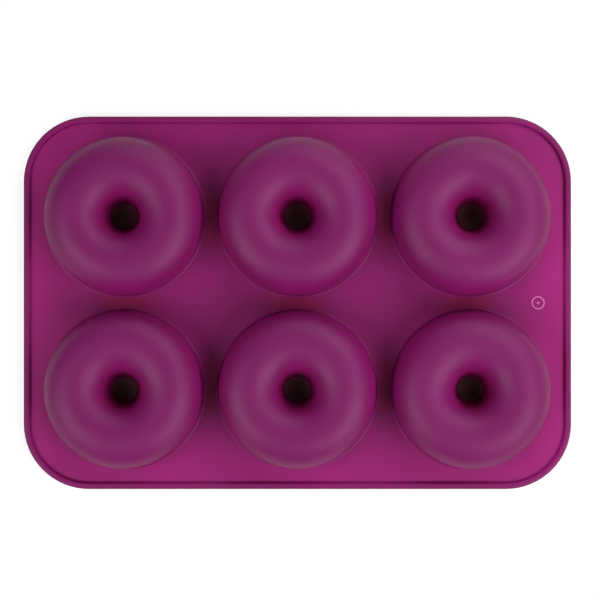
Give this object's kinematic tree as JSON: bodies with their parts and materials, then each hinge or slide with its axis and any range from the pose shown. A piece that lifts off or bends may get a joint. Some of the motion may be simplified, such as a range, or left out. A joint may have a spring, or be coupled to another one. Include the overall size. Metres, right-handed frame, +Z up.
{
  "type": "doughnut pan",
  "caption": "Flexible silicone pan with ring-shaped cups for baking doughnuts, thickened rim and rounded corners, lying cups upward.",
  "frame": {"origin": "middle of the surface that the rim rests on", "axes": "+Z up through the crowns of the cups, +X along the length towards the end with the moulding mark, +Y across the width"},
  "size_m": [0.26, 0.177, 0.0298],
  "materials": {
    "silicone": "satin moulded silicone"
  },
  "bodies": {
    "root": {"doughnut_mould": "silicone"}
  },
  "joints": []
}
